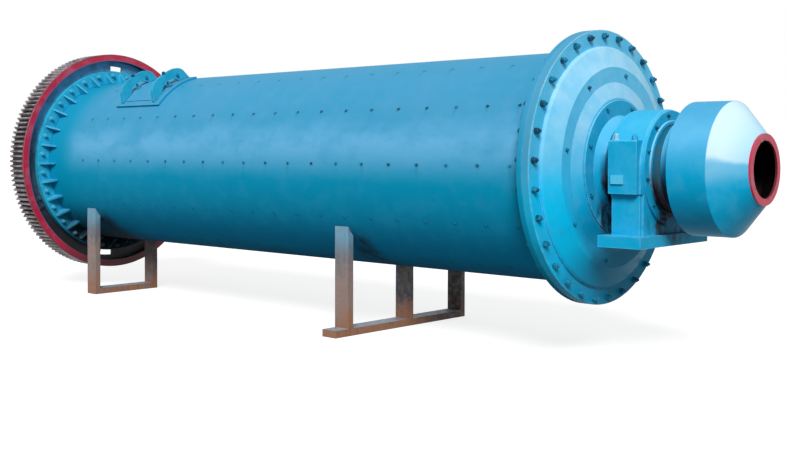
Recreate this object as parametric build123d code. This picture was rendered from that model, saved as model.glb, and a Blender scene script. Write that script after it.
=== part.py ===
import math
import os

from build123d import *

# Ball mill with ribbed girth-gear flange, drum feeder and shop stands, in millimetres.
# X runs along the mill axis to the feed end, the floor is Z = 0, the origin is mid-length.

# Drum shell
axis_height = 1510
shell_bore = 1830
shell_wall = 18
shell_length = 6604
flange_od = 2176
feed_flange_thickness = 44
gear_flange_thickness = 66
rim_chamfer = 5
liner_thickness = 45
liner_joint = 6
liner_staves = 12
liner_end_gap = 10

# Gussets of the gear-end flange
gusset_count = 30
gusset_phase = -1.5
gusset_thickness = 20
gusset_height = 130
gusset_length = 145

# End covers, stepped cone from the bolting flange to the trunnion seat
cover_flange_thickness = 66
cover_wall = 60
cover_step_inset = 133
cover_step_rise = 26
cover_step_round = 12
cover_cone_width = 164
cover_cone_rise = 64
cover_land_width = 121
cover_nose_rise = 30
cover_seat_gap = 3

# Trunnions
trunnion_flange_r = 533
trunnion_flange_thickness = 48
trunnion_flange_proud = 11
trunnion_hub_wall = 79
trunnion_hub_length = 61
trunnion_hub_lip = 22
journal_r = 330
journal_bore_r = 230
journal_end_clear = 83

# Main bearings
barrel_rise = 285
barrel_length = 252
barrel_r = 447
barrel_round = 8
lug_inset = 13
lug_length = 225
bearing_cavity_r = 362
bearing_split_drop = 185
cap_half_width = 490
cap_lug_top = 212
boss_inset = 27
boss_length = 98
boss_drop = 112
boss_height = 65
boss_proud = 16
base_half_width = 435
base_side_inset = 28
base_foot_drop = 495
base_plate_thickness = 87
base_plate_overhang = 43
base_plate_length = 341
base_plate_half_width = 540
running_clearance = 0.5
seal_thickness = 20
seal_outer_r = 437
seal_lip = 12
seal_lip_wall = 27
seal_clearance = 5
anchor_hole = 30
anchor_half_pitch = 500
anchor_strip = 28

# Girth gear
gear_module = 18
gear_teeth = 142
gear_face = 294
gear_overhang = 22
gear_rim_bore_r = 1216
gear_web_thickness = 40
gear_window_count = 2
gear_window_phase = 94
gear_window_inner_r = 1100
gear_window_outer_r = 1160
gear_window_angle = 9
gear_side_ring = 22
gear_joint = 2
gear_joint_angle = 25.5
pressure_angle = 20

# Drum feeder
feeder_collar_length = 111
feeder_drum_length = 284
feeder_drum_r = 498
feeder_cone_length = 200
feeder_mouth_thickness = 16
feeder_mouth_r = 259
feeder_mouth_bore_r = 208
feeder_wall = 12
feeder_collar_r = 300

# Discharge spout at the gear end
spout_flange_r = 320
spout_flange_thickness = 30
spout_bore_r = 238
spout_wall = 14
spout_length = 200

# Manhole on the shell
manhole_from_gear_end = 1490
manhole_angle = 59
manhole_half_length = 345
manhole_half_arc = 17
manhole_frame_arc = 4
manhole_frame_width = 70
manhole_frame_rise = 24
manhole_cover_rise = 30
manhole_fit = 3
clamp_offset = 275
clamp_thickness = 40
clamp_rise = 178
clamp_bar = 88
clamp_leg = 118
clamp_lift = 4
clamp_bolt_hole = 34

# Shop stands, rolled channel
channel_width = 160
channel_height = 65
channel_web = 9
sill_end_plate = 8
channel_flange = 10
stand_clearance = 5
mid_stand_station = -2127
mid_stand_front = -930
mid_stand_rear = 946
mid_post_places = (-767, 76, 881)
gear_stand_from_gear_end = 688
gear_stand_front = -772
gear_stand_rear = 112
gear_post_places = (-772, 47)
tall_post_drop = 525

shell_r = shell_bore / 2 + shell_wall
flange_r = flange_od / 2
pitch_r = gear_module * gear_teeth / 2
gear_tip_r = pitch_r + gear_module
gear_root_r = pitch_r - 1.25 * gear_module
gear_base_r = pitch_r * math.cos(math.radians(pressure_angle))
cover_step_r = flange_r - cover_step_inset
cover_cone_r = cover_step_r - cover_cone_width
cover_land_r = cover_cone_r - cover_land_width
cover_land_rise = cover_step_rise + cover_cone_rise
trunnion_face_rise = cover_land_rise + cover_nose_rise + trunnion_flange_proud
trunnion_seat_rise = trunnion_face_rise - trunnion_flange_thickness
journal_end_rise = barrel_rise + barrel_length + seal_thickness + journal_end_clear
feeder_back_rise = journal_end_rise + feeder_collar_length
feeder_crease_rise = feeder_back_rise + feeder_drum_length
feeder_cone_rise = feeder_crease_rise + feeder_cone_length
feeder_mouth_rise = feeder_cone_rise + feeder_mouth_thickness

# Stations along the axis, the overall length centred on the origin
feed_reach = feeder_mouth_rise
discharge_reach = journal_end_rise + spout_length
flange_to_flange = shell_length + 2 * cover_flange_thickness + gear_web_thickness
feed_face = (flange_to_flange + feed_reach + discharge_reach) / 2 - feed_reach
shell_feed_end = feed_face - cover_flange_thickness
shell_gear_end = shell_feed_end - shell_length
discharge_face = shell_gear_end - gear_web_thickness - cover_flange_thickness
gear_front = shell_gear_end + gear_flange_thickness + gear_overhang
gear_back = gear_front - gear_face
manhole_centre = shell_gear_end + manhole_from_gear_end
mid_stand_x = feed_face + mid_stand_station
gear_stand_x = shell_gear_end + gear_stand_from_gear_end


def on_axis(shape):
    return Pos(0, 0, axis_height) * shape


def revolved(points):
    """Solid of revolution about the mill axis from (x, radius) corners."""
    with BuildSketch(Plane.XZ) as profile:
        with BuildLine():
            Polyline(*points, close=True)
        make_face()
    return revolve(profile.sketch, Axis.X, 360)


def ring(x0, x1, outer, inner):
    return revolved([(x0, inner), (x1, inner), (x1, outer), (x0, outer)])


def flange_ring(x0, x1, outer, inner):
    c = rim_chamfer
    return revolved([(x0, inner), (x1, inner), (x1, outer - c), (x1 - c, outer),
                     (x0 + c, outer), (x0, outer - c)])


def mirrored_end(points):
    """Profile written from a flange face outward, moved to the discharge end."""
    return [(discharge_face - x, r) for x, r in points]


def feed_end(points):
    return [(feed_face + x, r) for x, r in points]


def drum_shell():
    tube = ring(shell_gear_end, shell_feed_end, shell_r, shell_bore / 2)
    return tube - manhole_block(manhole_half_length, manhole_half_arc, shell_bore / 2 - 50,
                                shell_r + 50)


def shell_flange_feed():
    return flange_ring(shell_feed_end - feed_flange_thickness, shell_feed_end, flange_r, shell_r)


def shell_flange_gear():
    inboard = shell_gear_end + gear_flange_thickness
    flange = flange_ring(shell_gear_end, inboard, flange_r, shell_r)
    with BuildSketch(Plane.XZ) as rib:
        with BuildLine():
            Polyline((inboard - 1, shell_r - 1), (inboard + gusset_length, shell_r - 1),
                     (inboard + gusset_length, shell_r + 12),
                     (inboard + 22, shell_r + gusset_height),
                     (inboard - 1, shell_r + gusset_height), close=True)
        make_face()
    one = extrude(rib.sketch, gusset_thickness / 2, both=True)
    step = 360 / gusset_count
    ribs = [Rot(X=90 - gusset_phase - k * step) * one for k in range(gusset_count)]
    whole = flange.fuse(*ribs)
    return whole - ring(shell_gear_end - 5, inboard + gusset_length + 5, shell_r, shell_r - 30)


def liner():
    x0 = shell_gear_end + liner_end_gap
    x1 = shell_feed_end - liner_end_gap
    outer = shell_bore / 2
    tube = ring(x0, x1, outer, outer - liner_thickness)
    gap = Box(shell_length, 2 * outer, liner_joint, align=(Align.CENTER, Align.MIN, Align.CENTER))
    gap = Pos((x0 + x1) / 2, 0, 0) * gap
    step = 360 / liner_staves
    for k in range(liner_staves):
        tube = tube - Rot(X=(k + 0.5) * step) * gap
    return tube


def end_cover_points():
    hub_bore = journal_r - 20
    seat_r = trunnion_flange_r + cover_seat_gap
    inner_r = cover_step_r - 40
    c = rim_chamfer
    return [
        (-cover_flange_thickness, flange_r - c), (c - cover_flange_thickness, flange_r),
        (-c, flange_r), (0, flange_r - c), (0, cover_step_r),
        (cover_step_rise - cover_step_round, cover_step_r),
        (cover_step_rise, cover_step_r - cover_step_round),
        (cover_land_rise, cover_cone_r), (cover_land_rise, cover_land_r),
        (cover_land_rise + cover_nose_rise, seat_r + 12), (cover_land_rise + cover_nose_rise, seat_r),
        (trunnion_seat_rise, seat_r), (trunnion_seat_rise, hub_bore),
        (trunnion_seat_rise - cover_wall, hub_bore),
        (cover_land_rise - cover_wall, cover_cone_r - cover_wall / 2),
        (cover_step_rise - cover_wall, inner_r), (-cover_flange_thickness, inner_r),
    ]


def trunnion_flange_points():
    face = trunnion_face_rise
    return [
        (trunnion_seat_rise, journal_r), (trunnion_seat_rise, trunnion_flange_r),
        (face - rim_chamfer, trunnion_flange_r), (face, trunnion_flange_r - rim_chamfer),
        (face, journal_r + trunnion_hub_wall),
        (face + trunnion_hub_length, journal_r + trunnion_hub_lip),
        (face + trunnion_hub_length, journal_r),
    ]


def trunnion_points():
    return [(trunnion_seat_rise, journal_bore_r), (trunnion_seat_rise, journal_r),
            (journal_end_rise, journal_r), (journal_end_rise, journal_bore_r)]


def block(x0, length, half_width, z0, z1):
    """Box symmetric about the mill axis in Y, heights counted from the axis."""
    return Pos(x0, 0, z0) * Box(length, 2 * half_width, z1 - z0,
                                align=(Align.MIN, Align.CENTER, Align.MIN))


def axis_bar(x0, length, radius):
    return Pos(x0, 0, 0) * Rot(Y=90) * Cylinder(
        radius, length, align=(Align.CENTER, Align.CENTER, Align.MIN))


def bearing_cap(x0):
    """Upper housing: barrel over the journal with a clamping lug and an oil boss on each side."""
    split = -bearing_split_drop
    lug_x = x0 + lug_inset
    barrel = axis_bar(x0, barrel_length, barrel_r)
    barrel = chamfer(barrel.edges().filter_by(GeomType.CIRCLE), barrel_round)
    sides = block(x0, barrel_length, barrel_r, split, 0)
    lugs = block(lug_x, lug_length, cap_half_width, split, cap_lug_top)
    lugs = chamfer(lugs.edges().filter_by(Axis.X).group_by(Axis.Z)[-1], barrel_round)
    boss = block(lug_x + boss_inset, boss_length, cap_half_width + boss_proud, -boss_drop,
                 boss_height - boss_drop)
    cavity = axis_bar(x0 - 10, barrel_length + 50, bearing_cavity_r)
    slot = block(x0 - 10, barrel_length + 50, bearing_cavity_r, split - 5, 0)
    floor = block(x0 - 10, barrel_length + 50, 2 * cap_half_width, -2 * barrel_r, split)
    return barrel + sides + lugs + boss - cavity - slot - floor


def bearing_base(x0):
    """Lower housing with the half bush that carries the journal."""
    split = -bearing_split_drop
    lug_x = x0 + lug_inset
    trough = block(x0, barrel_length, base_half_width - base_side_inset, -base_foot_drop, split)
    lugs = block(lug_x, lug_length, base_half_width, -base_foot_drop, split)
    bore = axis_bar(x0 - 10, barrel_length + 50, journal_r + running_clearance)
    return trough + lugs - bore


def base_plate(x0):
    plate_x = x0 - base_plate_overhang
    low = -base_foot_drop - base_plate_thickness
    plate = block(plate_x, base_plate_length, base_plate_half_width, low, -base_foot_drop)
    for y in anchor_places():
        hole = Cylinder(anchor_hole / 2, 3 * base_plate_thickness)
        plate = plate - Pos(plate_x + anchor_strip, y, low) * hole
    return plate


def anchor_places():
    return (-anchor_half_pitch, anchor_half_pitch)


def seal_ring(face, side):
    """Bolted ring with a proud lip round the journal, side +1 outboard and -1 inboard."""
    inner = journal_r + seal_clearance
    lip_r = inner + seal_lip_wall
    profile = [(0, inner), (0, seal_outer_r), (seal_thickness, seal_outer_r),
               (seal_thickness, lip_r), (seal_thickness + seal_lip, lip_r),
               (seal_thickness + seal_lip, inner)]
    return revolved([(face + side * x, r) for x, r in profile])


def seal_rings(x0):
    return Compound(children=[seal_ring(x0, -1), seal_ring(x0 + barrel_length, 1)])


def flank_angle(radius):
    """Half the angle that a tooth fills at this radius, on an involute flank."""
    def involute(r):
        phi = math.acos(gear_base_r / r)
        return math.tan(phi) - phi
    return math.pi / (2 * gear_teeth) + involute(pitch_r) - involute(radius)


def gear_rim():
    radii = (gear_root_r, pitch_r, gear_tip_r)
    flank = [(r, flank_angle(r)) for r in radii]
    step = 2 * math.pi / gear_teeth

    def at(radius, angle):
        return radius * math.cos(angle), radius * math.sin(angle)

    edges = []
    for k in range(gear_teeth):
        middle = k * step
        rise = [at(r, middle - a) for r, a in flank]
        fall = [at(r, middle + a) for r, a in reversed(flank)]
        following = at(gear_root_r, middle + step - flank[0][1])
        edges += [ThreePointArc(*rise), Line(rise[-1], fall[0]),
                  ThreePointArc(*fall), Line(fall[-1], following)]
    bore = Wire(Circle(gear_rim_bore_r).edges())
    section = Plane.YZ.offset(gear_back) * Face(Wire(edges), [bore])
    return extrude(section, gear_face - gear_side_ring)


def gear_ring():
    """Plain ring that closes the tooth gaps on the side toward the shell."""
    return flange_ring(gear_front - gear_side_ring, gear_front, gear_tip_r, gear_rim_bore_r)


def sector(x0, x1, outer, inner, half_arc):
    """Block between two radii, centred on the -Y side of the axis."""
    far = 3 * outer
    a = math.radians(half_arc)
    with BuildSketch(Plane.YZ.offset(x0 - 1)) as cut:
        with BuildLine():
            Polyline((0, 0), (-far * math.cos(a), far * math.sin(a)),
                     (-far * math.cos(a), -far * math.sin(a)), close=True)
        make_face()
    return ring(x0, x1, outer, inner) & extrude(cut.sketch, x1 - x0 + 2)


def gear_web():
    x0 = shell_gear_end - gear_web_thickness
    web = ring(x0, shell_gear_end, gear_rim_bore_r, shell_bore / 2)
    window = sector(x0 - 5, shell_gear_end + 5, gear_window_outer_r, gear_window_inner_r,
                    gear_window_angle / 2)
    step = 360 / gear_window_count
    windows = [Rot(X=-gear_window_phase - k * step) * window for k in range(gear_window_count)]
    return web - windows


def gear_half(whole, side):
    """One half of a split gear piece, side +1 above and -1 below the joint."""
    cutter = Box(shell_length, 4 * gear_tip_r, 2 * gear_tip_r,
                 align=(Align.CENTER, Align.CENTER, Align.MIN if side > 0 else Align.MAX))
    return whole & Rot(X=gear_joint_angle) * Pos(gear_back, 0, side * gear_joint / 2) * cutter


def feeder_drum():
    w = feeder_wall
    return revolved(feed_end([
        (feeder_back_rise, feeder_drum_r), (feeder_crease_rise, feeder_drum_r),
        (feeder_crease_rise, feeder_drum_r - w), (feeder_back_rise + w, feeder_drum_r - w),
        (feeder_back_rise + w, journal_bore_r), (feeder_back_rise, journal_bore_r)]))


def feeder_cone():
    w = feeder_wall
    return revolved(feed_end([
        (feeder_crease_rise, feeder_drum_r), (feeder_cone_rise, feeder_mouth_r),
        (feeder_cone_rise, feeder_mouth_r - w), (feeder_crease_rise, feeder_drum_r - w)]))


def feeder_mouth_ring():
    return revolved(feed_end([
        (feeder_cone_rise, feeder_mouth_r), (feeder_mouth_rise, feeder_mouth_r),
        (feeder_mouth_rise, feeder_mouth_bore_r),
        (feeder_cone_rise, feeder_mouth_bore_r)]))


def feeder_collar():
    return revolved(feed_end([
        (journal_end_rise, feeder_collar_r + 60), (feeder_back_rise, feeder_collar_r + 60),
        (feeder_back_rise, journal_bore_r), (journal_end_rise, journal_bore_r)]))


def discharge_spout():
    start, end = journal_end_rise, journal_end_rise + spout_length
    step = start + spout_flange_thickness
    neck = spout_bore_r + spout_wall
    return revolved(mirrored_end([
        (start, spout_flange_r), (step, spout_flange_r), (step, neck), (end, neck),
        (end, spout_bore_r), (start, spout_bore_r)]))


def manhole_block(half_length, half_arc, inner, outer):
    return Rot(X=-manhole_angle) * sector(manhole_centre - half_length,
                                          manhole_centre + half_length, outer, inner, half_arc)


def manhole_frame():
    outer = manhole_block(manhole_half_length + manhole_frame_width / 2,
                          manhole_half_arc + manhole_frame_arc / 2, shell_r,
                          shell_r + manhole_frame_rise)
    hole = manhole_block(manhole_half_length - manhole_frame_width / 2,
                         manhole_half_arc - manhole_frame_arc / 2, shell_r - 10,
                         shell_r + manhole_frame_rise + 10)
    return outer - hole


def manhole_cover():
    fit_arc = math.degrees(manhole_fit / shell_r)
    return manhole_block(manhole_half_length - manhole_frame_width / 2 - manhole_fit,
                         manhole_half_arc - manhole_frame_arc / 2 - fit_arc, shell_bore / 2,
                         shell_r + manhole_cover_rise)


def manhole_clamp(offset):
    """Arched plate across the manhole, its feet on the frame, open above the cover."""
    x0 = manhole_centre + offset - clamp_thickness / 2
    foot = shell_r + manhole_frame_rise
    top = shell_r + clamp_rise
    reach = shell_r * math.sin(math.radians(manhole_half_arc + manhole_frame_arc / 2)) - 6
    low = foot * math.cos(math.radians(manhole_half_arc)) - 40
    shoulder = (low + top) / 2 + 34
    with BuildSketch(Plane.YZ.offset(x0)) as arch:
        with BuildLine():
            Line((-low, reach), (-low, -reach))
            Line((-low, -reach), (-shoulder, -reach * 0.82))
            Spline((-shoulder, -reach * 0.82), (-top, 0), (-shoulder, reach * 0.82),
                   tangents=((-1, 0.6), (0, 1), (1, 0.6)))
            Line((-shoulder, reach * 0.82), (-low, reach))
        make_face()
        with BuildLine():
            ThreePointArc((-low, -reach + clamp_leg), (-top + clamp_bar, 0),
                          (-low, reach - clamp_leg))
            Line((-low, reach - clamp_leg), (-low, -reach + clamp_leg))
        make_face(mode=Mode.SUBTRACT)
    bar = Rot(X=-manhole_angle) * extrude(arch.sketch, clamp_thickness)
    over_cover = manhole_block(manhole_half_length, manhole_half_arc - manhole_frame_arc / 2,
                               shell_r, shell_r + manhole_cover_rise + clamp_lift)
    hole = Rot(X=-manhole_angle) * Pos(x0 + clamp_thickness / 2, -top, 0) * Rot(X=90) * Cylinder(
        clamp_bolt_hole / 2, 4 * clamp_bar)
    return bar - axis_bar(x0 - 5, clamp_thickness + 10, foot) - over_cover - hole


def channel(length):
    """Rolled channel standing on end, its web toward -Y, cut square."""
    w, h = channel_width, channel_height
    with BuildSketch(Plane.XY) as section:
        with BuildLine():
            Polyline((-w / 2, 0), (w / 2, 0), (w / 2, h), (w / 2 - channel_flange, h),
                     (w / 2 - channel_flange, channel_web),
                     (-w / 2 + channel_flange, channel_web), (-w / 2 + channel_flange, h),
                     (-w / 2, h), close=True)
        make_face()
    return extrude(section.sketch, length)


def stand_sill(x, y0, y1):
    """Channel laid on its flanges, web up, from y0 to y1, with a plate welded into each end."""
    lying = Pos(x, y0, channel_height) * Rot(X=-90) * channel(y1 - y0)
    for y in (y0, y1 - sill_end_plate):
        lying = lying + Pos(x, y, 0) * Box(
            channel_width - channel_flange, sill_end_plate, channel_height - channel_web / 2,
            align=(Align.CENTER, Align.MIN, Align.MIN))
    return lying


def stand_post(x, y):
    """Upright channel on the sill, coped to the shell with a running gap."""
    post = Pos(x, y, channel_height) * channel(axis_height)
    cope = on_axis(ring(shell_gear_end, shell_feed_end, shell_r + stand_clearance, 1))
    above = Pos(x, y, axis_height - tall_post_drop) * Box(
        2 * channel_width, 4 * channel_height, axis_height,
        align=(Align.CENTER, Align.CENTER, Align.MIN))
    return (post - cope - above).solids().sort_by(Axis.Z)[0]


def parts():
    feed_bearing = feed_face + barrel_rise
    rim, side_ring, web = gear_rim(), gear_ring(), gear_web()
    nodes = {
        "drum_shell": on_axis(drum_shell()),
        "shell_flange_feed": on_axis(shell_flange_feed()),
        "shell_flange_gear": on_axis(shell_flange_gear()),
        "shell_liner": on_axis(liner()),
        "feed_end_cover": on_axis(revolved(feed_end(end_cover_points()))),
        "discharge_end_cover": on_axis(revolved(mirrored_end(end_cover_points()))),
        "feed_trunnion_flange": on_axis(revolved(feed_end(trunnion_flange_points()))),
        "feed_trunnion": on_axis(revolved(feed_end(trunnion_points()))),
        "discharge_trunnion_flange": on_axis(revolved(mirrored_end(trunnion_flange_points()))),
        "discharge_trunnion": on_axis(revolved(mirrored_end(trunnion_points()))),
        "girth_gear_upper_half": on_axis(gear_half(rim, 1)),
        "girth_gear_lower_half": on_axis(gear_half(rim, -1)),
        "gear_side_ring_upper_half": on_axis(gear_half(side_ring, 1)),
        "gear_side_ring_lower_half": on_axis(gear_half(side_ring, -1)),
        "gear_web_upper_half": on_axis(gear_half(web, 1)),
        "gear_web_lower_half": on_axis(gear_half(web, -1)),
        "feeder_collar": on_axis(feeder_collar()),
        "feeder_drum": on_axis(feeder_drum()),
        "feeder_cone": on_axis(feeder_cone()),
        "feeder_mouth_ring": on_axis(feeder_mouth_ring()),
        "discharge_spout": on_axis(discharge_spout()),
        "manhole_frame": on_axis(manhole_frame()),
        "manhole_cover": on_axis(manhole_cover()),
        "manhole_clamp_feed_side": on_axis(manhole_clamp(clamp_offset)),
        "manhole_clamp_gear_side": on_axis(manhole_clamp(-clamp_offset)),
        "mid_stand_sill": stand_sill(mid_stand_x, mid_stand_front, mid_stand_rear),
        "gear_stand_sill": stand_sill(gear_stand_x, gear_stand_front, gear_stand_rear),
    }
    turn = Rot(Z=180)
    for end, place in (("feed", Pos(0, 0, axis_height)),
                       ("discharge", Pos(feed_face + discharge_face, 0, axis_height) * turn)):
        nodes[end + "_bearing_cap"] = place * bearing_cap(feed_bearing)
        nodes[end + "_bearing_base"] = place * bearing_base(feed_bearing)
        nodes[end + "_bearing_base_plate"] = place * base_plate(feed_bearing)
        nodes[end + "_bearing_seal_rings"] = place * seal_rings(feed_bearing)
    for name, y in zip(("front", "middle", "rear"), mid_post_places):
        nodes["mid_stand_post_" + name] = stand_post(mid_stand_x, y)
    for name, y in zip(("front", "rear"), gear_post_places):
        nodes["gear_stand_post_" + name] = stand_post(gear_stand_x, y)
    return nodes


os.makedirs("parts", exist_ok=True)
for node, shape in parts().items():
    export_step(shape, f"parts/{node}.step")
    box = shape.bounding_box()
    print(f"{node:28s} x {box.min.X:8.1f} {box.max.X:8.1f}  y {box.min.Y:8.1f} {box.max.Y:8.1f}"
          f"  z {box.min.Z:8.1f} {box.max.Z:8.1f}  volume {shape.volume / 1e6:9.2f} l")
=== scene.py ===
import math

import bmesh
import bpy
from mathutils import Matrix, Vector


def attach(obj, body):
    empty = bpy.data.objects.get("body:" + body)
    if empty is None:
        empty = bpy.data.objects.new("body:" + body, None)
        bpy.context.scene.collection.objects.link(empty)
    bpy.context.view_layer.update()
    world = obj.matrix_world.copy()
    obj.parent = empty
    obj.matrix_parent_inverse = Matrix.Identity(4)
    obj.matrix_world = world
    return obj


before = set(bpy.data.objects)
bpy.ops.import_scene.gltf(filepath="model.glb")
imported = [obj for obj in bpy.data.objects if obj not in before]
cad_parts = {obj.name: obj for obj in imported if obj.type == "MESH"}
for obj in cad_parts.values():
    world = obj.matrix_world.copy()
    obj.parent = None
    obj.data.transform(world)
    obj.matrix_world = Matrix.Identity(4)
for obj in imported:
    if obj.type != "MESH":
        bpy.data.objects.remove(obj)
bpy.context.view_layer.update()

axisHeight = 1.510
feedFace = 3.1825           # outer face of the cover's bolting flange
shellFeedEnd = 3.1165
shellGearEnd = -3.4875
dischargeFace = -3.5935
shellRadius = 0.933
flangeRadius = 1.088
capHalfWidth = 0.490
ends = (("feed", 1, feedFace), ("discharge", -1, dischargeFace))


# Camera at the photo's angle

camera = {
    "place": (7.665, -7.986, 1.667),
    "azimuth": 46.54,
    "elevation": 0.95,
    "lens": 50.48,
    "sensor": 36,
    "shift": (0.1648, -0.0860),
}


def makeCamera():
    data = bpy.data.cameras.new("photoCamera")
    data.lens = camera["lens"]
    data.sensor_width = camera["sensor"]
    data.shift_x, data.shift_y = camera["shift"]
    seen = bpy.data.objects.new("photoCamera", data)
    bpy.context.scene.collection.objects.link(seen)
    turn, rise = math.radians(camera["azimuth"]), math.radians(camera["elevation"])
    back = Vector((math.sin(turn) * math.cos(rise), -math.cos(turn) * math.cos(rise), math.sin(rise)))
    seen.location = camera["place"]
    seen.rotation_mode = "QUATERNION"
    seen.rotation_quaternion = (-back).to_track_quat("-Z", "Y")
    bpy.context.scene.camera = seen
    print("camera set")


# Node helpers

def feed(tree, socket, value):
    if isinstance(value, bpy.types.NodeSocket):
        tree.links.new(value, socket)
    else:
        socket.default_value = value


def maths(tree, operation, *values, clamp=False):
    node = tree.nodes.new("ShaderNodeMath")
    node.operation = operation
    node.use_clamp = clamp
    for socket, value in zip(node.inputs, values):
        feed(tree, socket, value)
    return node.outputs[0]


def times(tree, value, *factors):
    for factor in factors:
        value = maths(tree, "MULTIPLY", value, factor)
    return value


def plus(tree, first, second, clamp=False):
    return maths(tree, "ADD", first, second, clamp=clamp)


def minus(tree, first, second):
    return maths(tree, "SUBTRACT", first, second)


def swing(tree, value, width):
    # a noise value, which lies about 0.5, becomes a push to either side
    return times(tree, minus(tree, value, 0.5), width)


def hypotenuse(tree, first, second):
    return maths(tree, "SQRT", plus(tree, times(tree, first, first), times(tree, second, second)))


def softStep(tree, value, low, high, toLow=0.0, toHigh=1.0):
    node = tree.nodes.new("ShaderNodeMapRange")
    node.interpolation_type = "SMOOTHSTEP"
    for socket, given in zip(node.inputs, (value, low, high, toLow, toHigh)):
        feed(tree, socket, given)
    return node.outputs[0]


def mixColour(tree, factor, first, second, blend="MIX"):
    node = tree.nodes.new("ShaderNodeMix")
    node.data_type = "RGBA"
    node.blend_type = blend
    node.clamp_factor = True
    feed(tree, node.inputs[0], factor)
    feed(tree, node.inputs[6], first)
    feed(tree, node.inputs[7], second)
    return node.outputs[2]


def noise(tree, vector, scale, detail=3.0, roughness=0.55, distortion=0.0):
    node = tree.nodes.new("ShaderNodeTexNoise")
    feed(tree, node.inputs["Vector"], vector)
    feed(tree, node.inputs["Scale"], scale)
    node.inputs["Detail"].default_value = detail
    node.inputs["Roughness"].default_value = roughness
    node.inputs["Distortion"].default_value = distortion
    return node.outputs[0]


def stretch(tree, vector, scale):
    node = tree.nodes.new("ShaderNodeMapping")
    feed(tree, node.inputs["Vector"], vector)
    node.inputs["Scale"].default_value = scale
    return node.outputs[0]


def splitXyz(tree, vector):
    node = tree.nodes.new("ShaderNodeSeparateXYZ")
    feed(tree, node.inputs[0], vector)
    return node.outputs


def objectPoint(tree):
    return tree.nodes.new("ShaderNodeTexCoord").outputs["Object"]


def objectNormal(tree):
    turn = tree.nodes.new("ShaderNodeVectorTransform")
    turn.vector_type = "NORMAL"
    turn.convert_from, turn.convert_to = "WORLD", "OBJECT"
    tree.links.new(tree.nodes.new("ShaderNodeNewGeometry").outputs["Normal"], turn.inputs[0])
    return turn.outputs[0]


def bump(tree, height, distance):
    node = tree.nodes.new("ShaderNodeBump")
    node.inputs["Distance"].default_value = distance
    feed(tree, node.inputs["Height"], height)
    return node.outputs["Normal"]


def startGroup(name, inputs, outputs):
    group = bpy.data.node_groups.new(name, "ShaderNodeTree")
    for label, kind, value in inputs:
        socket = group.interface.new_socket(label, in_out="INPUT", socket_type=kind)
        socket.default_value = value
    for label, kind in outputs:
        group.interface.new_socket(label, in_out="OUTPUT", socket_type=kind)
    return group, group.nodes.new("NodeGroupInput").outputs, group.nodes.new("NodeGroupOutput").inputs


def useGroup(tree, group, **values):
    node = tree.nodes.new("ShaderNodeGroup")
    node.node_tree = group
    for label, value in values.items():
        feed(tree, node.inputs[label], value)
    return node.outputs


number, colour = "NodeSocketFloat", "NodeSocketColor"


# Where a point lies on the drum: along it, out from its axis, how far round from the top or up from
# the -Y side, and how far its face looks away from the axis

def degreesOf(group, opposite, adjacent):
    return times(group, maths(group, "ARCTAN2", opposite, adjacent), 180 / math.pi)


def makeAxisGroup():
    group, _, out = startGroup("axisPlace", [], [
        ("along", number), ("radius", number), ("fromTop", number), ("angle", number), ("outward", number)])
    x, y, z = splitXyz(group, objectPoint(group))
    height = minus(group, z, axisHeight)
    radius = hypotenuse(group, y, height)
    _, ny, nz = splitXyz(group, objectNormal(group))
    reach = plus(group, times(group, ny, y), times(group, nz, height))
    feed(group, out["along"], x)
    feed(group, out["radius"], radius)
    feed(group, out["fromTop"], degreesOf(group, maths(group, "ABSOLUTE", y), height))
    feed(group, out["angle"], degreesOf(group, height, times(group, y, -1)))
    feed(group, out["outward"], maths(group, "DIVIDE", reach, maths(group, "MAXIMUM", radius, 0.01)))
    return group


# Bare or chipped edges, and edges painted pale as painted highlight, found by comparing the surface's normal
# with a rounded one

def makeEdgeGroup():
    group, given, out = startGroup("edgeWearAndHighlight", [("reach", number, 0.006), ("amount", number, 0.5)],
                                   [("mask", number)])
    soft = group.nodes.new("ShaderNodeBevel")
    soft.samples = 4
    feed(group, soft.inputs["Radius"], given["reach"])
    dot = group.nodes.new("ShaderNodeVectorMath")
    dot.operation = "DOT_PRODUCT"
    group.links.new(soft.outputs[0], dot.inputs[0])
    group.links.new(group.nodes.new("ShaderNodeNewGeometry").outputs["Normal"], dot.inputs[1])
    edge = softStep(group, dot.outputs["Value"], 0.995, 0.90)
    chips = softStep(group, noise(group, objectPoint(group), 17, 4, 0.6), 0.40, 0.60, 0.25, 1.0)
    feed(group, out["mask"], times(group, edge, chips, given["amount"]))
    return group


# Soot and grease, with painted shade, that hang low at the gear end

sootAndShade = {"colour": (0.010, 0.012, 0.015, 1), "share": 0.92, "ragged": 26, "raggedAlong": 0.5,
        "startsAt": -2.05, "fullAt": -3.05}


def makeSootAndShadeGroup():
    group, given, out = startGroup("gearSootAndShade", [("from", number, 118), ("to", number, 152)],
                                   [("mask", number)])
    point = objectPoint(group)
    x, y, z = splitXyz(group, point)
    around = degreesOf(group, maths(group, "ABSOLUTE", y), minus(group, z, axisHeight))
    push = minus(group, noise(group, point, 4.5, 5, 0.62), 0.5)
    around = plus(group, around, times(group, push, sootAndShade["ragged"]))
    along = plus(group, x, times(group, push, sootAndShade["raggedAlong"]))
    feed(group, out["mask"], times(group, softStep(group, around, given["from"], given["to"]),
                                   softStep(group, along, sootAndShade["startsAt"], sootAndShade["fullAt"])))
    return group


# Weathered paint: sun-faded on top, dirty below, run marks on upright faces

paintInputs = ("paint", "faded", "dirt", "rust", "fade", "grime", "runs", "blotch", "gloss")


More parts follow.
